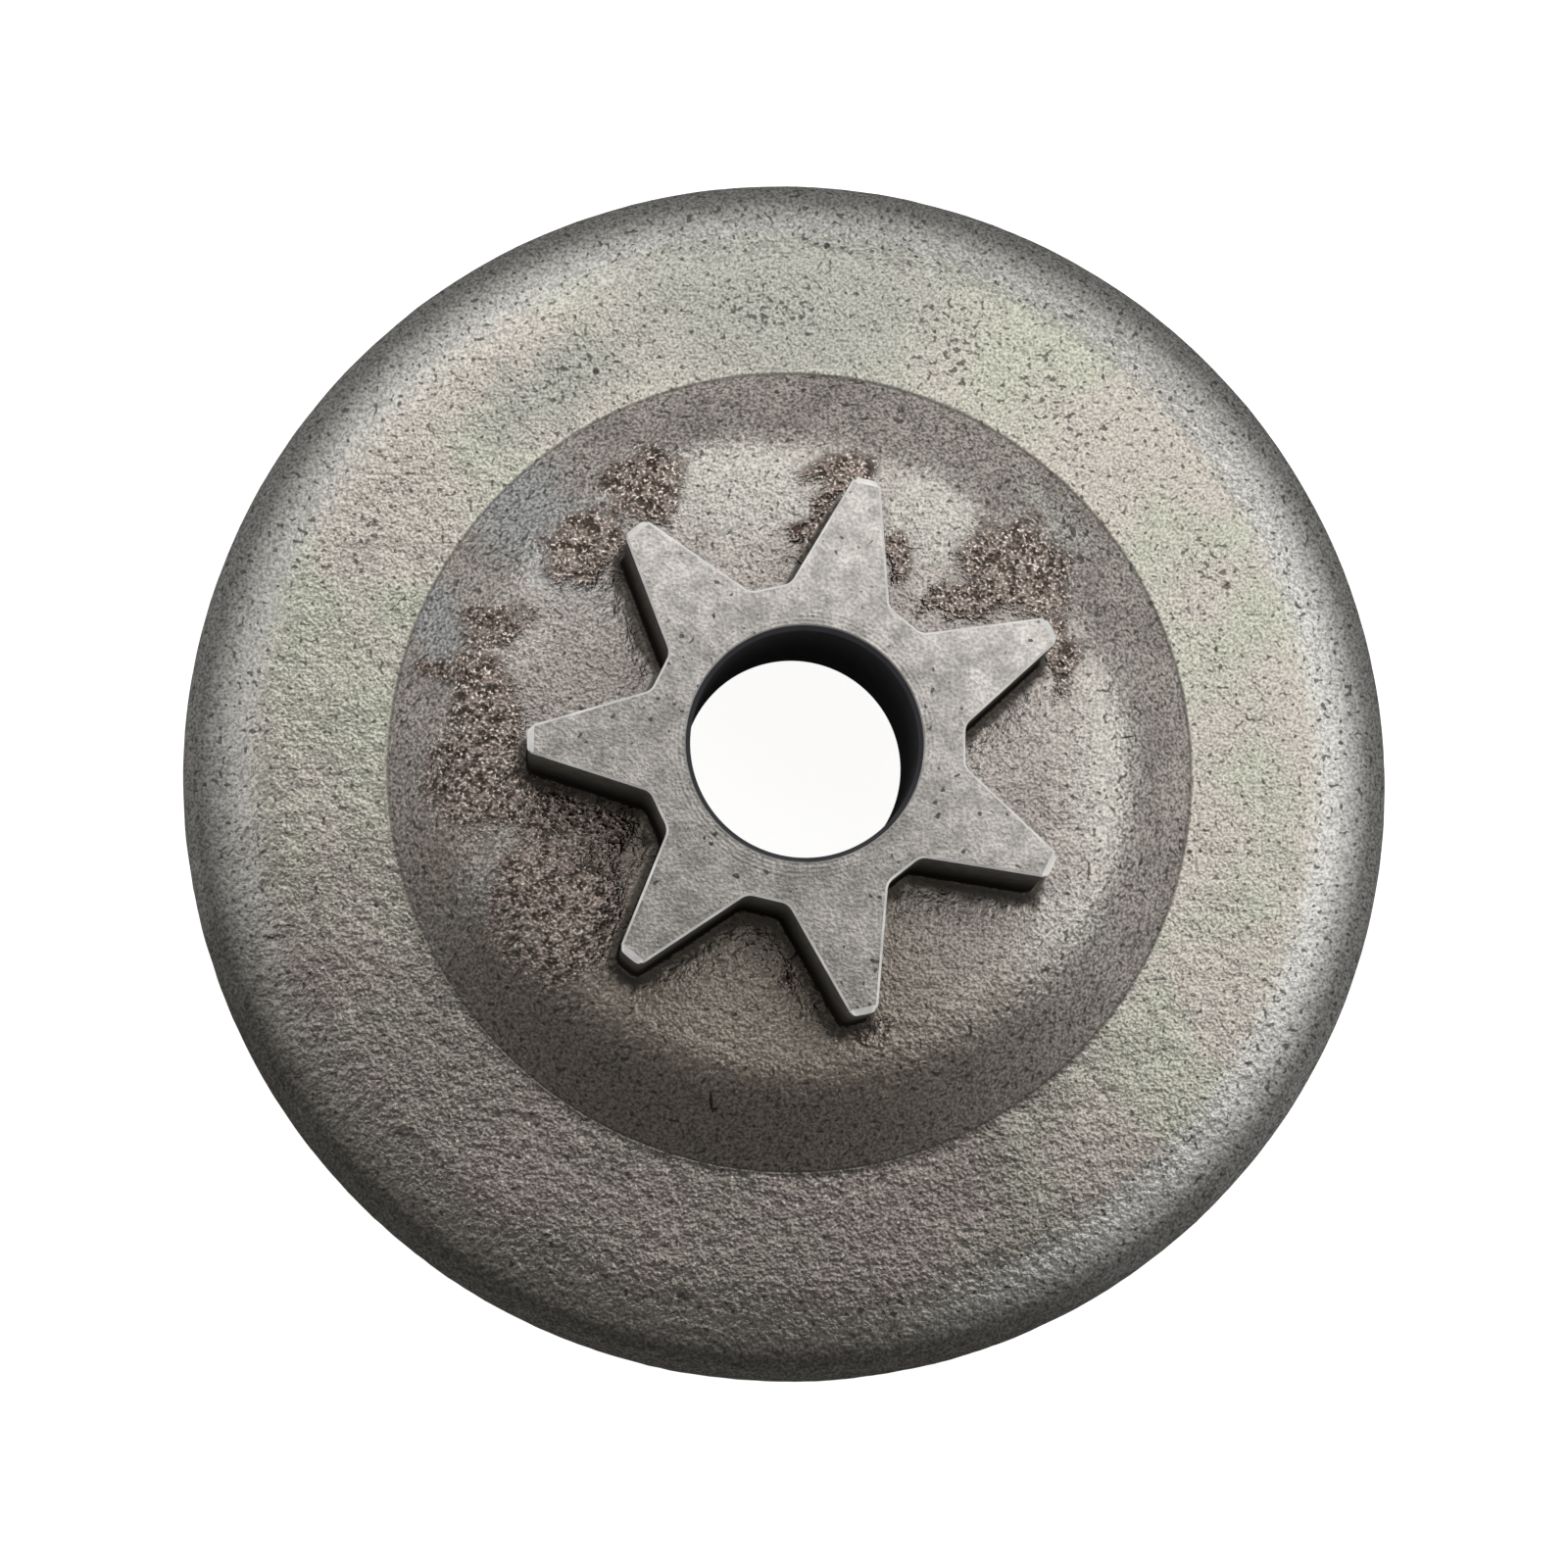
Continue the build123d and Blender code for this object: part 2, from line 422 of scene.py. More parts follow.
# Zones of the cast skin, as patches seen from above: middle x and y, half length and half width
# in millimetres, turn in degrees
PATCHES = {
    "brown": (
        (15.4, 13.7, 4.3, 3.5, -25),
        (11.6, 11.8, 2.4, 1.5, 10),
        (18.1, 7.9, 1.2, 2.8, 10),
        (3.2, 20.2, 2.6, 1.7, 5),
        (1.6, 16.6, 1.1, 3.0, -25),
        (7.1, 14.9, 1.0, 1.6, 0),
        (-10.6, 19.0, 3.0, 2.6, 30),
        (-14.3, 14.6, 3.1, 2.6, 30),
        (-20.6, 9.4, 2.4, 1.8, 0),
        (-25.0, 6.3, 1.5, 0.7, 5),
        (-21.2, 3.6, 2.6, 4.2, 8),
        (-21.4, -1.2, 3.9, 3.8, 0),
        (-16.4, -3.4, 6.0, 2.2, -14),
        (-16.0, -10.0, 4.6, 5.4, 25),
        (0.9, -15.0, 0.9, 2.6, 25),
        (4.3, -18.2, 2.2, 0.9, 5),
    ),
    # Pale patches: paler skin, and a painted highlight where they lie along the crest on the right
    "pale": (
        (-4.0, 18.8, 5.6, 3.6, 0),
        (9.4, 17.6, 3.2, 3.8, 30),
        (17.9, 17.7, 3.6, 1.3, -45),
        # These three lie along the crest on the right and lower right: painted highlight
        (21.4, -0.4, 2.2, 7.4, 0),
        (18.2, -11.4, 2.4, 4.4, -40),
        (11.4, -17.2, 4.4, 1.6, 32),
        (-19.9, -6.1, 1.8, 1.1, 0),
    ),
    "cool": (
        (-18.6, 17.4, 3.6, 8.0, 42),
        (-24.6, 10.0, 1.8, 4.0, 20),
        (-22.6, -12.0, 2.6, 6.0, -35),
    ),
    "pitted": (
        (11.5, 29.4, 2.8, 2.2, 0),
        (10.4, 32.4, 2.6, 1.6, 0),
        (17.4, 27.8, 2.8, 2.0, -35),
        (-2.0, 32.4, 3.6, 2.2, 0),
        (-16.0, 27.0, 4.5, 2.2, 32),
        (-29.0, 16.5, 4.0, 2.2, 58),
        (20.2, 24.2, 2.2, 1.6, -30),
        (20.0, 16.6, 3.2, 1.8, -40),
        (29.0, 14.5, 3.2, 1.8, -45),
        (7.6, 24.4, 3.0, 1.2, -15),
    ),
    # Painted shade over the far part of the ring
    "top_shade": (
        (-1.0, 34.0, 12.5, 7.8, 0),
        (-16.5, 26.5, 6.5, 3.0, 32),
    ),
}
# Single dark marks, given in the same way
DARK_MARKS = (
    (-5.45, -23.0, 0.13, 0.62, 4),
    (-5.22, -23.5, 0.24, 0.10, 0),
    (-13.85, 27.6, 0.24, 0.24, 0),
    (27.55, -5.4, 0.20, 0.16, 0),
    (22.9, 2.2, 0.55, 0.06, 12),
    (2.2, 37.0, 0.22, 0.20, 0),
    (29.5, 8.8, 0.14, 0.20, 0),
)
# Where a patch starts to fade and where it ends, as shares of its half length and half width
PATCH_FADE = (0.55, 1.35)
# How far the edges of the patches wander, and the size of their waves, in millimetres, with a shift
# that lets x and y wander apart
WANDER = 1.3
WANDER_SIZE = 1.7
WANDER_SHIFT = Vector((0, 0, 9))

# Clouds of light and dark, and of green and pink, in millimetres
CLOUD_SIZE = 4.2
CLOUD_OCTAVES = 3
TINT_SIZE = 6.0
TINT_SHIFT = Vector((7, 3, 1))
TINT_OCTAVES = 2
CLOUD_FALLOFF = 0.9

# The rough side, which also carries painted shade, and the side whose outer edge carries a painted highlight,
# by how far a place faces them
HIGHLIGHT_SIDE_ANGLE = 350.0
ROUGH_SHADED_SIDE_RANGE = (0.20, 0.85)
ROUGH_SHADED_SIDE_WANDER = 0.25
HIGHLIGHT_SIDE_RANGE = (0.20, 0.90)
# Heights between which the top side starts, and the normal below which a place looks down
TOP_RANGE = (BORE_START_HEIGHT + 0.1, BORE_START_HEIGHT + 0.4)
LOOKING_DOWN = -0.5

# Dirt and painted shade at the tooth feet, in millimetres from the wall: a thin line all round, and more
# below the walls that look toward the shaded side
FOOT_LINE_RANGE = (0.5, 1.0)
FOOT_LINE_SHARE = 0.8
FOOT_DIRT_AND_SHADE_RANGE = (0.1, 1.7)
SHADED_FOOT_SIDE = Vector((-0.15, -0.99))
SHADED_FOOT_SIDE_RANGE = (-0.15, 0.55)
FOOT_DIRT_AND_SHADE_WANDER = 0.7
FOOT_DIRT_AND_SHADE_WANDER_SIZE = 0.6


def outline_tree():
    """The points of the sprocket outline, ready for a search by place."""
    tree = kdtree.KDTree(len(OUTLINE))
    for index, point in enumerate(OUTLINE):
        tree.insert((point.x, point.y, 0), index)
    tree.balance()
    return tree


NEAR_OUTLINE = outline_tree()


def patch_share(x, y, patches):
    """1 in the middle of any of the patches, falling to 0 a little way past its edge."""
    most = 0.0
    for middle_x, middle_y, half_length, half_width, turn in patches:
        cosine, sine = math.cos(math.radians(turn)), math.sin(math.radians(turn))
        along = ((x - middle_x) * cosine + (y - middle_y) * sine) / half_length
        across = ((y - middle_y) * cosine - (x - middle_x) * sine) / half_width
        most = max(most, 1 - smooth_step(math.hypot(along, across), *PATCH_FADE))
    return most


def foot_dirt_and_shade_share(place):
    """How much dirt and painted shade lie at one place near the foot of the tooth walls."""
    if place.z > RAISED_HEIGHT + TOOTH_FOOT_RADIUS or place.z < CUP_HEIGHT:
        return 0.0
    index, distance = NEAR_OUTLINE.find((place.x, place.y, 0))[1:]
    side = smooth_step(OUTLINE_NORMALS[index].dot(SHADED_FOOT_SIDE), *SHADED_FOOT_SIDE_RANGE)
    ragged = FOOT_DIRT_AND_SHADE_WANDER * noise.noise(place / FOOT_DIRT_AND_SHADE_WANDER_SIZE)
    foot_line = FOOT_LINE_SHARE * (1 - smooth_step(distance, *FOOT_LINE_RANGE))
    return max(foot_line, side * (1 - smooth_step(distance + ragged, *FOOT_DIRT_AND_SHADE_RANGE)))


def zone_shares(place, normal):
    """How far each zone of the cast skin reaches at one place on the drum."""
    cloud = clouds(place / CLOUD_SIZE, CLOUD_FALLOFF, CLOUD_OCTAVES)
    x = place.x + WANDER * noise.noise(place / WANDER_SIZE)
    y = place.y + WANDER * noise.noise(place / WANDER_SIZE + WANDER_SHIFT)
    wandered = Vector((x, y))
    toward_rough = facing(wandered, ROUGH_SHADED_SIDE_ANGLE) + ROUGH_SHADED_SIDE_WANDER * (cloud - 0.5)
    on_top = smooth_step(place.z, *TOP_RANGE)
    shares = {
        "under": 1.0 if normal.z < LOOKING_DOWN else 0.0,
        "cloud": cloud,
        "tint": clouds(place / TINT_SIZE + TINT_SHIFT, CLOUD_FALLOFF, TINT_OCTAVES),
        # The rough side's zone also darkens the colours there as painted shade
        "rough_shaded_side": smooth_step(toward_rough, *ROUGH_SHADED_SIDE_RANGE),
        # Side whose outer edge gets a painted highlight
        "highlight_side": smooth_step(facing(wandered, HIGHLIGHT_SIDE_ANGLE), *HIGHLIGHT_SIDE_RANGE),
        # Dirt and painted shade at the tooth feet
        "foot_dirt_and_shade": on_top * foot_dirt_and_shade_share(place),
    }
    for name, patches in PATCHES.items():
        shares[name] = on_top * patch_share(x, y, patches)
    return shares


def paint_zones(mesh):
    """Keeps the zones on the mesh, a number for each point, for the cast skin's shader."""
    painted = [zone_shares(vertex.co / MM, vertex.normal) for vertex in mesh.vertices]
    for name in painted[0]:
        attribute = mesh.attributes.new(name, "FLOAT", "POINT")
        attribute.data.foreach_set("value", [shares[name] for shares in painted])


def add_node(tree, kind, inputs=None, **settings):
    """A shader node with its settings, and its inputs set to values or linked to sockets."""
    made = tree.nodes.new(kind)
    for name, value in settings.items():
        setattr(made, name, value)
    for key, value in (inputs or {}).items():
        if isinstance(value, bpy.types.NodeSocket):
            tree.links.new(value, made.inputs[key])
        else:
            made.inputs[key].default_value = value
    return made


def maths(tree, operation, first, second=0.5, third=0.5, clamp=False):
    """Result of a Math node."""
    inputs = {0: first, 1: second, 2: third}
    return add_node(tree, "ShaderNodeMath", inputs, operation=operation, use_clamp=clamp).outputs[0]


def times(tree, first, second):
    """Product of two numbers."""
    return maths(tree, "MULTIPLY", first, second)


def colour_mix(tree, share, first, second, blend="MIX"):
    """Two colours mixed, with share 1 for the second alone."""
    inputs = {0: share, 6: first, 7: second}
    return add_node(tree, "ShaderNodeMix", inputs, data_type="RGBA", blend_type=blend).outputs[2]


def number_mix(tree, share, first, second):
    """Two numbers mixed, with share 1 for the second alone."""
    return add_node(tree, "ShaderNodeMix", {0: share, 2: first, 3: second}, data_type="FLOAT").outputs[0]


def step_between(tree, value, low, high):
    """0 at low, 1 at high and a smooth step between, also where low is the larger."""
    inputs = {0: value, 1: low, 2: high, 3: 0.0, 4: 1.0}
    return add_node(tree, "ShaderNodeMapRange", inputs, interpolation_type="SMOOTHSTEP").outputs[0]


def ramp(tree, value, low, high, first, last):
    """A straight ramp from first at low to last at high."""
    return add_node(tree, "ShaderNodeMapRange", {0: value, 1: low, 2: high, 3: first, 4: last}).outputs[0]


def dot_product(tree, vector, direction):
    """How far a vector reaches along a direction."""
    made = add_node(tree, "ShaderNodeVectorMath", {0: vector, 1: direction}, operation="DOT_PRODUCT")
    return made.outputs["Value"]


def length(tree, vector):
    """Length of a vector."""
    return add_node(tree, "ShaderNodeVectorMath", {0: vector}, operation="LENGTH").outputs["Value"]


def shaded(tree, colour, shade):
    """A colour made lighter or darker by a factor."""
    grey = add_node(tree, "ShaderNodeCombineColor", {0: shade, 1: shade, 2: shade}).outputs[0]
    return colour_mix(tree, 1.0, colour, grey, "MULTIPLY")


def grain(tree, place, size, detail, roughness=0.5):
    """Noise from 0 to 1 whose blotches are about size millimetres wide."""
    inputs = {"Vector": place, "Scale": 1.0 / size, "Detail": detail, "Roughness": roughness}
    return add_node(tree, "ShaderNodeTexNoise", inputs).outputs[0]


def new_material(name):
    """An empty material with its shader and the place on the drum in millimetres."""
    material = bpy.data.materials.new(name)
    material.use_nodes = True
    tree = material.node_tree
    coordinates = add_node(tree, "ShaderNodeTexCoord").outputs["Object"]
    place = add_node(tree, "ShaderNodeVectorMath", {0: coordinates, "Scale": 1.0 / MM}, operation="SCALE")
    return material, tree, tree.nodes["Principled BSDF"], place.outputs[0]


def axis_distance(tree, place):
    """Distance from the bore axis in millimetres."""
    flat = add_node(tree, "ShaderNodeVectorMath", {0: place, 1: (1, 1, 0)}, operation="MULTIPLY")
    return length(tree, flat.outputs[0])


def set_bump(tree, shader, height, depth_mm):
    """Bump whose full height is depth_mm deep."""
    bump = add_node(tree, "ShaderNodeBump", {"Height": height, "Distance": depth_mm * MM, "Strength": 1.0})
    tree.links.new(bump.outputs[0], shader.inputs["Normal"])


def zone(tree, name):
    """One of the zones kept on the mesh."""
    return add_node(tree, "ShaderNodeAttribute", attribute_name=name).outputs["Fac"]


# Sizes of the cast skin's grains in millimetres
FINE_GRAIN = 0.21
COARSE_GRAIN = 0.60
PORE_GRAIN = 0.37
PIT_GRAIN = 0.50
# Radii between which one band of the cast skin blends into the next, in millimetres
SLOPE_BLEND = (RAISED_RADIUS - 1.2, RAISED_RADIUS + 0.8)
SLOPE_END_BLEND = (CREASE_RADIUS - 0.08, CREASE_RADIUS)
RING_BLEND = (CREASE_RADIUS - 0.08, CREASE_RADIUS + 0.08)
OUTER_EDGE_BLEND = (RING_FLAT_RADIUS - 0.4, RING_FLAT_RADIUS + 2.4)
# The wall band carries painted shade, a rougher shine and livelier grain
WALL_BLEND = (DRUM_RADIUS - 4.95, DRUM_RADIUS - 0.25)
# A line of painted shade along the crease
CREASE_LINE_RADIUS = CREASE_RADIUS - 0.05
CREASE_LINE_FADE = (0.20, 0.04)
# Steps that turn zones and grains into masks
BROWN_STEP = (0.62, 1.30)
FOOT_DIRT_AND_SHADE_STEP = (0.66, 1.20)
PORE_STEP = (0.31, 0.26)
PIT_STEP = (0.03, -0.03)
PIT_LEVEL_PLAIN = 0.20
PIT_LEVEL_PITTED = 0.385
MARK_STEP = (1.25, 0.75)
BLOTCH_STEP = (0.30, 0.70)
GRAIN_STEP = (0.28, 0.72)
CLUMP_STEP = (0.38, 0.58)
CLUMP_COARSE_SHARE = 0.68
CLUMP_FINE_SHARE = 0.32
BROWN_GLINT_STEP = (0.58, 0.72)
GLINT_STEP = (0.64, 0.80)
# Any height counts for the marks, so they are stretched along Z
MARK_STRETCH = 1000

# Colours of the cast skin
RING_GREEN = (0.425, 0.423, 0.353, 1)
RING_PINK = (0.450, 0.417, 0.369, 1)
# Painted highlight band at the ring's outer edge
RING_EDGE_SHEEN = (0.450, 0.443, 0.412, 1)
# Painted shade over the far part of the ring
RING_TOP_SHADE = (0.350, 0.345, 0.305, 1)
# Painted highlight on the outer edge of the highlight side
RING_EDGE_HIGHLIGHT = (0.555, 0.548, 0.523, 1)
# The ring's colours on the rough side, darker as painted shade; the last is the outer edge's painted
# highlight band there
SHADED_SIDE_GREEN = (0.207, 0.191, 0.167, 1)
SHADED_SIDE_PINK = (0.224, 0.195, 0.177, 1)
SHADED_SIDE_EDGE_SHEEN = (0.250, 0.230, 0.206, 1)
CENTRE_DARK = (0.320, 0.290, 0.265, 1)
CENTRE_LIGHT = (0.395, 0.360, 0.328, 1)
CENTRE_COOL = (0.370, 0.368, 0.358, 1)
# Paler skin, and a painted highlight along the crest on the right
CENTRE_PALE = (0.434, 0.416, 0.376, 1)
# Colour of the centre on the rough side, darker as painted shade
CENTRE_SHADED_SIDE = (0.232, 0.203, 0.171, 1)
BROWN_DARK = (0.070, 0.052, 0.042, 1)
BROWN_MID = (0.270, 0.222, 0.192, 1)
# Painted glints in the brown patches, dimmer on the rough side as painted shade
BROWN_GLINT = (0.570, 0.530, 0.485, 1)
BROWN_SHADED_SIDE_GLINT = (0.335, 0.318, 0.296, 1)
# Painted shade on the shoulder and outer wall, deeper on the rough side
WALL_SHADE = (0.160, 0.157, 0.150, 1)
WALL_DEEP_SHADE = (0.064, 0.060, 0.055, 1)
INNER_CAST = (0.340, 0.322, 0.298, 1)
GLINT = (0.520, 0.495, 0.460, 1)
# Dirt and painted shade at the tooth feet
FOOT_DIRT_AND_SHADE = (0.045, 0.040, 0.034, 1)
PIT = (0.060, 0.056, 0.048, 1)
# Painted shade in the crease
CREASE_SHADE_LINE = (0.080, 0.074, 0.066, 1)
MARK = (0.015, 0.013, 0.012, 1)
# How far the dirt and painted shade at the tooth feet, pits, the crease line's painted shade and marks cover
# the colour under them
FOOT_DIRT_AND_SHADE_COVER = 0.85
PIT_COVER = 0.80
CREASE_SHADE_COVER = 0.6
MARK_COVER = 0.85

# Darkest and lightest shade of the grain, on calm and on lively parts
CALM_SHADES = (0.66, 1.32)
LIVELY_SHADES = (0.45, 1.58)
SHOULDER_LIVELINESS = 0.35
ROUGH_SIDE_LIVELINESS = 0.45
# Height of the grains in millimetres, on smooth and on rough parts, and how rough the centre is
# on the rough side
FINE_HEIGHTS = (0.030, 0.060)
COARSE_HEIGHTS = (0.055, 0.150)
ROUGH_CENTRE_SHARE = 0.25
# Shine of the cast skin
CAST_ROUGHNESS = 0.27
WALL_ROUGHNESS = 0.55
CAST_SPECULAR_TINT = (0.35, 0.35, 0.35, 1)


def mark_mask(tree, place):
    """1 inside any of the dark marks and 0 outside."""
    nearest = None
    for x, y, half_length, half_width, turn in DARK_MARKS:
        local = add_node(tree, "ShaderNodeMapping", {
            "Vector": place,
            "Location": (x, y, 0),
            "Rotation": (0, 0, math.radians(turn)),
            "Scale": (half_length, half_width, MARK_STRETCH),
        }, vector_type="TEXTURE")
        reach = length(tree, local.outputs[0])
        nearest = reach if nearest is None else maths(tree, "MINIMUM", nearest, reach)
    return step_between(tree, nearest, *MARK_STEP)


class CastSkin:
    """Zones, grains and masks that the cast skin's colour and relief share."""

    def __init__(self, tree, place):
        self.tree = tree
        self.fine = grain(tree, place, FINE_GRAIN, detail=1.0)
        self.coarse = grain(tree, place, COARSE_GRAIN, detail=1.0)
        self.under = zone(tree, "under")
        self.cloud = zone(tree, "cloud")
        self.tint = zone(tree, "tint")
        self.rough_shaded_side = zone(tree, "rough_shaded_side")
        self.pale = zone(tree, "pale")
        self.cool = zone(tree, "cool")
        self.top_shade = zone(tree, "top_shade")
        self.highlight_side = zone(tree, "highlight_side")
        self.find_bands(axis_distance(tree, place))
        self.find_patches()
        self.find_pits(place)
        self.marks = mark_mask(tree, place)

    def find_bands(self, radius):
        """Masks of the slope, the ring, its outer edge, the wall and the crease line."""
        tree = self.tree
        past_crest = step_between(tree, radius, *SLOPE_BLEND)
        self.slope = maths(tree, "SUBTRACT", past_crest, step_between(tree, radius, *SLOPE_END_BLEND))
        self.ring = step_between(tree, radius, *RING_BLEND)
        self.outer_edge = step_between(tree, radius, *OUTER_EDGE_BLEND)
        self.wall = step_between(tree, radius, *WALL_BLEND)
        off_crease = maths(tree, "ABSOLUTE", maths(tree, "SUBTRACT", radius, CREASE_LINE_RADIUS))
        self.crease = step_between(tree, off_crease, *CREASE_LINE_FADE)

    def find_patches(self):
        """Masks of the brown patches and of the dirt and painted shade at the tooth feet, with edges made
        ragged by the grains.
        """
        tree = self.tree
        ragged = maths(tree, "MULTIPLY_ADD", self.coarse, 0.5, times(tree, self.fine, 0.5))
        self.brown = step_between(tree, maths(tree, "ADD", zone(tree, "brown"), ragged), *BROWN_STEP)
        self.foot_dirt_and_shade = step_between(tree, maths(tree, "ADD", zone(tree, "foot_dirt_and_shade"), ragged), *FOOT_DIRT_AND_SHADE_STEP)

    def find_pits(self, place):
        """Mask of the fine pores all over and of the larger pits in the pitted patches."""
        tree = self.tree
        pores = step_between(tree, grain(tree, place, PORE_GRAIN, detail=0.0), *PORE_STEP)
        level = number_mix(tree, zone(tree, "pitted"), PIT_LEVEL_PLAIN, PIT_LEVEL_PITTED)
        above_level = maths(tree, "SUBTRACT", grain(tree, place, PIT_GRAIN, detail=1.0), level)
        self.pits = maths(tree, "MAXIMUM", pores, step_between(tree, above_level, *PIT_STEP))

    def on_top(self, mask, cover):
        """A mask at the given strength that is kept off the underside."""
        return times(self.tree, maths(self.tree, "SUBTRACT", mask, self.under, clamp=True), cover)


def ring_colour(tree, skin):
    """Flat ring: greenish and pinkish greys, paler and plainer at its outer edge as a painted highlight band
    that is brightest on the highlight side, with painted shade over its far part and on the rough side.
    """
    blotch = step_between(tree, skin.tint, *BLOTCH_STEP)
    ring = colour_mix(tree, blotch, RING_GREEN, RING_PINK)
    # Painted highlight band at the outer edge
    ring = colour_mix(tree, skin.outer_edge, ring, RING_EDGE_SHEEN)
    # Painted shade over the far part of the ring
    ring = colour_mix(tree, skin.top_shade, ring, RING_TOP_SHADE)
    # Painted shade on the rough side
    rough = colour_mix(tree, blotch, SHADED_SIDE_GREEN, SHADED_SIDE_PINK)
    rough = colour_mix(tree, skin.outer_edge, rough, SHADED_SIDE_EDGE_SHEEN)
    ring = colour_mix(tree, skin.rough_shaded_side, ring, rough)
    # Painted highlight on the outer edge of the highlight side
    return colour_mix(tree, times(tree, skin.highlight_side, skin.outer_edge), ring, RING_EDGE_HIGHLIGHT)


def brown_colour(tree, skin):
    """Rough brown patches: dark hollows, brown clumps and painted glints, dimmer on the rough side as painted
    shade.
    """
    fine = times(tree, skin.fine, CLUMP_FINE_SHARE)
    clumps = maths(tree, "MULTIPLY_ADD", skin.coarse, CLUMP_COARSE_SHARE, fine)
    brown = colour_mix(tree, step_between(tree, clumps, *CLUMP_STEP), BROWN_DARK, BROWN_MID)
    # Painted glints, dimmer on the rough side as painted shade
    painted_glint = colour_mix(tree, skin.rough_shaded_side, BROWN_GLINT, BROWN_SHADED_SIDE_GLINT)
    return colour_mix(tree, step_between(tree, skin.fine, *BROWN_GLINT_STEP), brown, painted_glint)


def centre_colour(tree, skin):
    """Raised centre and slope: warm grey, cool, pale and brown patches, with a painted highlight in the pale
    patches along the crest on the right and painted shade on the rough side.
    """
    centre = colour_mix(tree, step_between(tree, skin.cloud, *BLOTCH_STEP), CENTRE_DARK, CENTRE_LIGHT)
    centre = colour_mix(tree, skin.cool, centre, CENTRE_COOL)
    # Pale patches, partly a painted highlight along the crest
    centre = colour_mix(tree, skin.pale, centre, CENTRE_PALE)
    # Painted shade on the rough side
    centre = colour_mix(tree, skin.rough_shaded_side, centre, CENTRE_SHADED_SIDE)
    return colour_mix(tree, skin.brown, centre, brown_colour(tree, skin))


def grain_shade(tree, skin):
    """Lighter and darker grains, stronger on the slope and the wall and calmer on the rough side."""
    calming = number_mix(tree, skin.rough_shaded_side, 1.0, ROUGH_SIDE_LIVELINESS)
    lively = maths(tree, "MAXIMUM", skin.slope, times(tree, skin.wall, SHOULDER_LIVELINESS))
    lively = times(tree, lively, calming)
    darkest = number_mix(tree, lively, CALM_SHADES[0], LIVELY_SHADES[0])
    lightest = number_mix(tree, lively, CALM_SHADES[1], LIVELY_SHADES[1])
    return number_mix(tree, step_between(tree, skin.fine, *GRAIN_STEP), darkest, lightest)


def cast_colour(tree, skin):
    """Colour of the cast skin, from its plain zones and the painted shade of its wall to its grain, painted
    glints, dirt and painted shade at the tooth feet, pits, the painted shade of the crease line and marks.
    """
    colour = colour_mix(tree, skin.ring, centre_colour(tree, skin), ring_colour(tree, skin))
    # Painted shade on the shoulder and outer wall, deeper on the rough side
    colour = colour_mix(tree, skin.wall, colour, colour_mix(tree, skin.rough_shaded_side, WALL_SHADE, WALL_DEEP_SHADE))
    colour = colour_mix(tree, skin.under, colour, INNER_CAST)
    colour = shaded(tree, colour, grain_shade(tree, skin))
    flat_ring = maths(tree, "SUBTRACT", skin.ring, skin.outer_edge)
    glints = times(tree, times(tree, skin.rough_shaded_side, flat_ring), step_between(tree, skin.fine, *GLINT_STEP))
    colour = colour_mix(tree, glints, colour, GLINT)
    # Dirt and painted shade at the tooth feet
    colour = colour_mix(tree, times(tree, skin.foot_dirt_and_shade, FOOT_DIRT_AND_SHADE_COVER), colour, FOOT_DIRT_AND_SHADE)
    colour = colour_mix(tree, times(tree, skin.pits, PIT_COVER), colour, PIT)
    # Painted shade in the crease
    colour = colour_mix(tree, skin.on_top(skin.crease, CREASE_SHADE_COVER), colour, CREASE_SHADE_LINE)
    return colour_mix(tree, skin.on_top(skin.marks, MARK_COVER), colour, MARK)


def cast_height(tree, skin):
    """Fine relief of the cast skin in millimetres, higher in the brown patches and on the rough side."""
    rough_ring = times(tree, skin.rough_shaded_side, number_mix(tree, skin.ring, ROUGH_CENTRE_SHARE, 1.0))
    rough = maths(tree, "MAXIMUM", skin.brown, rough_ring)
    fine = times(tree, skin.fine, number_mix(tree, rough, *FINE_HEIGHTS))
    return maths(tree, "MULTIPLY_ADD", skin.coarse, number_mix(tree, rough, *COARSE_HEIGHTS), fine)


def cast_skin():
    """Cast steel skin: pale ring, warmer centre, brown rough patches, pits and grain."""
    material, tree, shader, place = new_material("cast_steel_skin")
    skin = CastSkin(tree, place)
    tree.links.new(cast_colour(tree, skin), shader.inputs["Base Color"])
    roughness = number_mix(tree, skin.wall, CAST_ROUGHNESS, WALL_ROUGHNESS)
    tree.links.new(roughness, shader.inputs["Roughness"])
    shader.inputs["Metallic"].default_value = 1.0
    shader.inputs["Specular Tint"].default_value = CAST_SPECULAR_TINT
    set_bump(tree, shader, cast_height(tree, skin), depth_mm=1.0)
    return material


# Ground face of the sprocket: grain sizes in millimetres, colours and shades
FACE_BLOTCH = 1.5
FACE_GRAIN = 0.24
FACE_SPECK_GRAIN = 0.45
FACE_SPECK_STEP = (0.212, 0.172)
FACE_DARK = (0.300, 0.288, 0.266, 1)
FACE_LIGHT = (0.520, 0.488, 0.459, 1)
FACE_SPECK = (0.110, 0.100, 0.090, 1)
FACE_SHADES = (0.80, 1.18)
FACE_ROUGHNESS = 0.23
FACE_GRAIN_HEIGHT = 0.016
# Painted light and shade that grow across the face along a direction, and a darker hub
PAINTED_LIGHT_DIRECTION = (0.33, 0.94, 0)
PAINTED_LIGHT_REACH = (-14, 14)
PAINTED_LIGHT_SHADES = (0.76, 1.06)
HUB_BLEND = (12.5, 9.5)
HUB_SHADE = 0.88
# Faint turned rings round the bore, in millimetres
TURNED_PITCH = 0.28
TURNED_BLEND = (BORE_RADIUS + 2.4, BORE_RADIUS + 0.8)
TURNED_HEIGHT = 0.0016


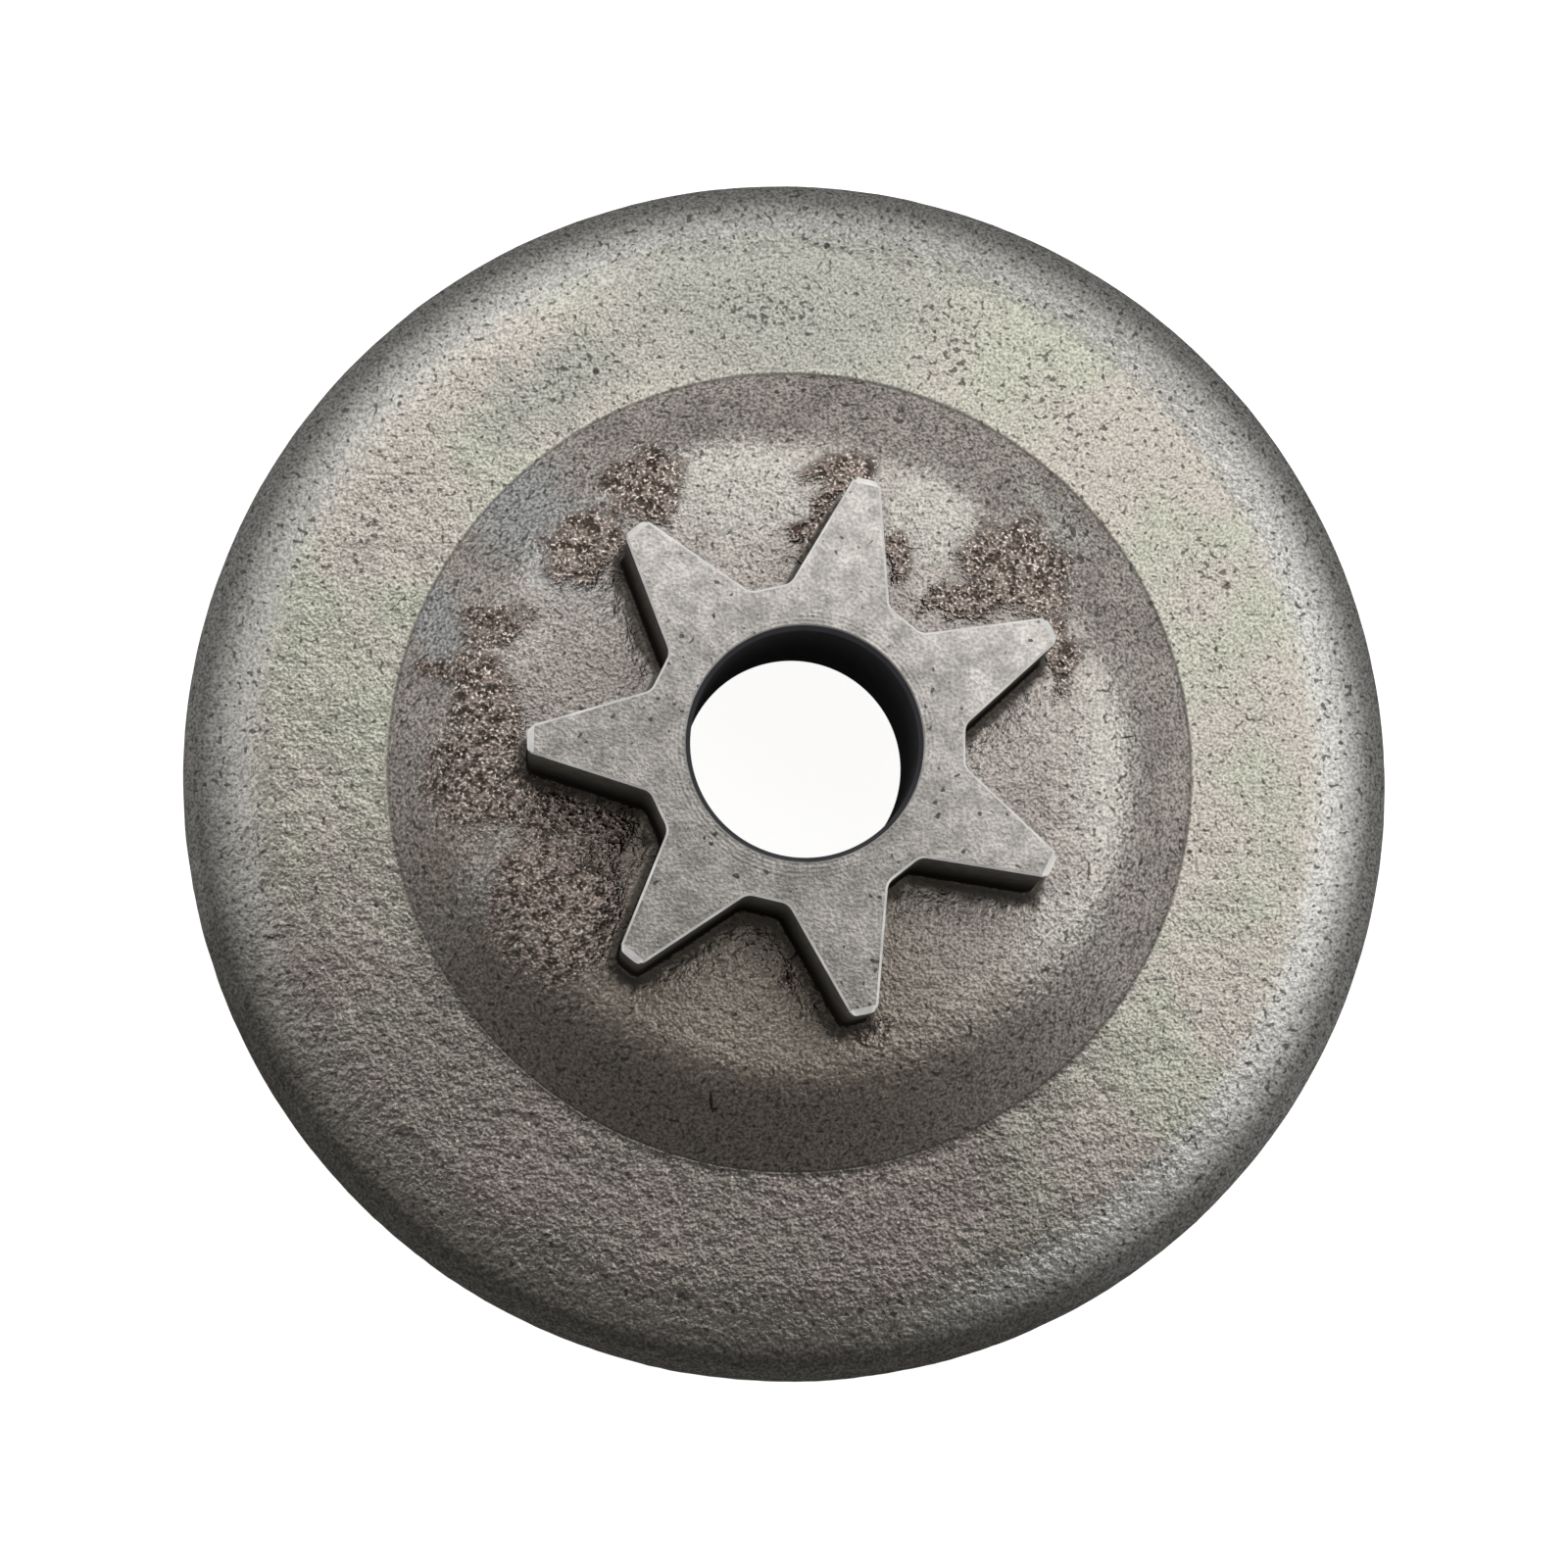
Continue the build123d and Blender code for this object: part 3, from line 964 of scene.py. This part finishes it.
def face_colour(tree, place, radius, fine):
    """Mottled pale steel with a few dark specks, brighter on the far side as painted light, and darker at the
    hub.
    """
    blotch = grain(tree, place, FACE_BLOTCH, detail=3.0, roughness=0.7)
    colour = colour_mix(tree, step_between(tree, blotch, *BLOTCH_STEP), FACE_DARK, FACE_LIGHT)
    specks = step_between(tree, grain(tree, place, FACE_SPECK_GRAIN, detail=0.0), *FACE_SPECK_STEP)
    colour = colour_mix(tree, specks, colour, FACE_SPECK)
    # Painted light: brighter toward the far side, darker toward the near side
    painted_light = ramp(tree, dot_product(tree, place, PAINTED_LIGHT_DIRECTION), *PAINTED_LIGHT_REACH, *PAINTED_LIGHT_SHADES)
    hub = number_mix(tree, step_between(tree, radius, *HUB_BLEND), 1.0, HUB_SHADE)
    shade = number_mix(tree, step_between(tree, fine, *GRAIN_STEP), *FACE_SHADES)
    return shaded(tree, colour, times(tree, shade, times(tree, painted_light, hub)))


def sprocket_face():
    """Ground face of the sprocket: smooth, pale, a little mottled, with faint turned rings near the bore."""
    material, tree, shader, place = new_material("sprocket_face")
    fine = grain(tree, place, FACE_GRAIN, detail=1.0)
    radius = axis_distance(tree, place)
    tree.links.new(face_colour(tree, place, radius, fine), shader.inputs["Base Color"])
    shader.inputs["Metallic"].default_value = 1.0
    shader.inputs["Roughness"].default_value = FACE_ROUGHNESS
    rings = maths(tree, "SINE", times(tree, radius, 2 * math.pi / TURNED_PITCH))
    near_bore = step_between(tree, radius, *TURNED_BLEND)
    turned = times(tree, times(tree, rings, near_bore), TURNED_HEIGHT)
    height = maths(tree, "MULTIPLY_ADD", fine, FACE_GRAIN_HEIGHT, turned)
    set_bump(tree, shader, height, depth_mm=1.0)
    return material


# Other steel: sizes of its mottle and its grain in millimetres, and its colours; the worn edge's light end is
# a painted highlight, and the flank and bore colours are painted shade
STEEL_MOTTLE = 1.8
SHADE_SKIN_MOTTLE = 0.9
SHADE_SKIN_LEAST_SHARE = 0.35
SHADE_SKIN_ROUGHNESS = 0.7
STEEL_GRAIN = 0.4
WORN_EDGE_DARK = (0.32, 0.31, 0.30, 1)
# Light end of the worn edges: painted highlight
WORN_EDGE_HIGHLIGHT = (1.00, 0.99, 0.96, 1)
TURNED_DARK = (0.27, 0.26, 0.25, 1)
TURNED_LIGHT = (0.36, 0.35, 0.34, 1)
# Painted shade on the tooth flanks and down the bore
FLANK_DARK = (0.016, 0.013, 0.011, 1)
FLANK_LIGHT = (0.150, 0.138, 0.122, 1)
BORE_DARK = (0.040, 0.040, 0.043, 1)
BORE_LIGHT = (0.065, 0.065, 0.070, 1)


def plain_steel(name, dark, light, roughness, depth_mm):
    """Bare steel with a slight mottle between two colours."""
    material, tree, shader, place = new_material(name)
    blotch = grain(tree, place, STEEL_MOTTLE, detail=2.0)
    tree.links.new(colour_mix(tree, blotch, dark, light), shader.inputs["Base Color"])
    shader.inputs["Metallic"].default_value = 1.0
    shader.inputs["Roughness"].default_value = roughness
    set_bump(tree, shader, grain(tree, place, STEEL_GRAIN, detail=1.0), depth_mm)
    return material


def painted_shade_skin(name, dark, light, depth_mm):
    """A dark skin without shine, mottled, that gets lighter toward the sprocket face: painted shade on the
    tooth flanks and down the bore.
    """
    material, tree, shader, place = new_material(name)
    height = add_node(tree, "ShaderNodeSeparateXYZ", {0: place}).outputs[2]
    rise = step_between(tree, height, RAISED_HEIGHT, FACE_HEIGHT)
    mottle = maths(tree, "ADD", grain(tree, place, SHADE_SKIN_MOTTLE, detail=2.0), SHADE_SKIN_LEAST_SHARE)
    tree.links.new(colour_mix(tree, times(tree, rise, mottle), dark, light), shader.inputs["Base Color"])
    shader.inputs["Roughness"].default_value = SHADE_SKIN_ROUGHNESS
    shader.inputs["Specular IOR Level"].default_value = 0.0
    set_bump(tree, shader, grain(tree, place, STEEL_GRAIN, detail=1.0), depth_mm)
    return material


# Faces that meet at more than this angle, in degrees, keep a sharp edge
SHARP_ANGLE = 32


def add_drum():
    """The drum with its relief, notch and materials, in place of the plain solid."""
    made = {
        CAST: cast_skin(),
        FACE: sprocket_face(),
        # Worn edges with a painted highlight
        EDGE: plain_steel("worn_edge_and_highlight", WORN_EDGE_DARK, WORN_EDGE_HIGHLIGHT, roughness=0.42, depth_mm=0.01),
        # Tooth flanks and bore wall: painted shade
        FLANK: painted_shade_skin("tooth_flank", FLANK_DARK, FLANK_LIGHT, depth_mm=0.04),
        BORE: painted_shade_skin("bore_wall", BORE_DARK, BORE_LIGHT, depth_mm=0.005),
        TURNED: plain_steel("turned_steel", TURNED_DARK, TURNED_LIGHT, roughness=0.34, depth_mm=0.008),
    }
    mesh = drum_mesh()
    for index in sorted(made):
        mesh.materials.append(made[index])
    drum = bpy.data.objects.new("clutch_drum_detailed", mesh)
    bpy.context.collection.objects.link(drum)
    cut_notch(drum, made[TURNED])
    paint_zones(drum.data)
    drum.data.shade_smooth()
    drum.data.set_sharp_from_angle(angle=math.radians(SHARP_ANGLE))
    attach(drum, "root")
    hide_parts(NODE)


# Camera, fitted to the photograph: place and aim in millimetres, roll in degrees, lens for a 36 mm sensor
CAMERA_PLACE = (-16.4, -32.8, 279.5)
CAMERA_AIM = (-0.55, -1.1, 16.0)
CAMERA_ROLL = 0.43
CAMERA_LENS = 88.7
SENSOR_WIDTH = 36.0
# Nearest distance that the camera shows, in metres
CLIP_START = 0.01


def add_camera():
    """The camera at the photograph's place, turned toward its aim and rolled."""
    data = bpy.data.cameras.new("camera")
    data.lens = CAMERA_LENS
    data.sensor_width = SENSOR_WIDTH
    data.sensor_fit = "HORIZONTAL"
    data.clip_start = CLIP_START
    camera = bpy.data.objects.new("camera", data)
    bpy.context.collection.objects.link(camera)
    backward = (Vector(CAMERA_PLACE) - Vector(CAMERA_AIM)).normalized()
    right = Vector((0, 1, 0)).cross(backward).normalized()
    up = backward.cross(right)
    turn = Matrix((right, up, backward)).transposed()
    roll = Matrix.Rotation(math.radians(CAMERA_ROLL), 3, "Z")
    camera.matrix_world = Matrix.Translation(Vector(CAMERA_PLACE) * MM) @ (turn @ roll).to_4x4()
    bpy.context.scene.camera = camera


# White floor: half its width in metres, its colour, and its glow where it is seen, in place of more light
FLOOR_HALF_WIDTH = 3.0
FLOOR_COLOUR = (0.8, 0.8, 0.8, 1)
FLOOR_ROUGHNESS = 0.9
FLOOR_GLOW = 0.85
WHITE = (1, 1, 1, 1)


def floor_material():
    """A pale floor that shows as white to the camera and in metal, and is clear from below."""
    material = bpy.data.materials.new("white_floor")
    material.use_nodes = True
    tree = material.node_tree
    shader = tree.nodes["Principled BSDF"]
    shader.inputs["Base Color"].default_value = FLOOR_COLOUR
    shader.inputs["Roughness"].default_value = FLOOR_ROUGHNESS
    shader.inputs["Specular IOR Level"].default_value = 0.0
    path = add_node(tree, "ShaderNodeLightPath")
    seen = maths(tree, "MAXIMUM", path.outputs["Is Camera Ray"], path.outputs["Is Glossy Ray"])
    seen = maths(tree, "MAXIMUM", seen, path.outputs["Is Transmission Ray"])
    shader.inputs["Emission Color"].default_value = WHITE
    tree.links.new(times(tree, seen, FLOOR_GLOW), shader.inputs["Emission Strength"])
    back = add_node(tree, "ShaderNodeNewGeometry").outputs["Backfacing"]
    clear = add_node(tree, "ShaderNodeBsdfTransparent").outputs[0]
    one_sided = add_node(tree, "ShaderNodeMixShader", {0: back, 1: shader.outputs[0], 2: clear}).outputs[0]
    tree.links.new(one_sided, tree.nodes["Material Output"].inputs["Surface"])
    return material


def add_floor():
    """A wide white floor that keeps a soft shadow."""
    half = FLOOR_HALF_WIDTH
    mesh = bpy.data.meshes.new("floor")
    corners = [(-half, -half, 0), (half, -half, 0), (half, half, 0), (-half, half, 0)]
    mesh.from_pydata(corners, [], [(0, 1, 2, 3)])
    mesh.materials.append(floor_material())
    floor = bpy.data.objects.new("floor", mesh)
    bpy.context.collection.objects.link(floor)


# Soft lamps: place, width and depth in metres, and brightness of the face, where 1 is white
LAMPS = {
    "top_lamp": ((0.17, 0.28, 0.95), 1.5, 0.48, 1.00),
    "left_lamp": ((-0.60, 0.06, 0.85), 0.45, 0.45, 0.80),
}
LAMP_AIM = Vector((0, 0, 0.02))
# Direction of the brighter half of the surround, and its strengths from the dim to the bright side
BRIGHT_SIDE = (0.25, 0.75, -0.60)
BRIGHT_SIDE_REACH = (-0.95, -0.10)
SURROUND_STRENGTHS = (0.22, 0.70)


def add_area_lamp(name, place, width, depth, brightness):
    """A soft rectangular lamp whose face has the given brightness."""
    data = bpy.data.lights.new(name, "AREA")
    data.shape = "RECTANGLE"
    data.size = width
    data.size_y = depth
    data.energy = brightness * math.pi * width * depth
    lamp = bpy.data.objects.new(name, data)
    bpy.context.collection.objects.link(lamp)
    lamp.location = place
    lamp.rotation_euler = (LAMP_AIM - Vector(place)).to_track_quat("-Z", "Y").to_euler()


def add_light():
    """A broad soft lamp overhead, a smaller one on the left, and a surround that is dim on the near side."""
    for name, (place, width, depth, brightness) in LAMPS.items():
        add_area_lamp(name, place, width, depth, brightness)
    world = bpy.data.worlds.new("surround")
    world.use_nodes = True
    tree = world.node_tree
    background = tree.nodes["Background"]
    background.inputs["Color"].default_value = WHITE
    direction = add_node(tree, "ShaderNodeTexCoord").outputs["Generated"]
    toward_bright = dot_product(tree, direction, BRIGHT_SIDE)
    strength = ramp(tree, toward_bright, *BRIGHT_SIDE_REACH, *SURROUND_STRENGTHS)
    tree.links.new(strength, background.inputs["Strength"])
    bpy.context.scene.world = world


add_drum()
add_camera()
add_floor()
add_light()
bpy.context.scene.view_settings.view_transform = "Standard"
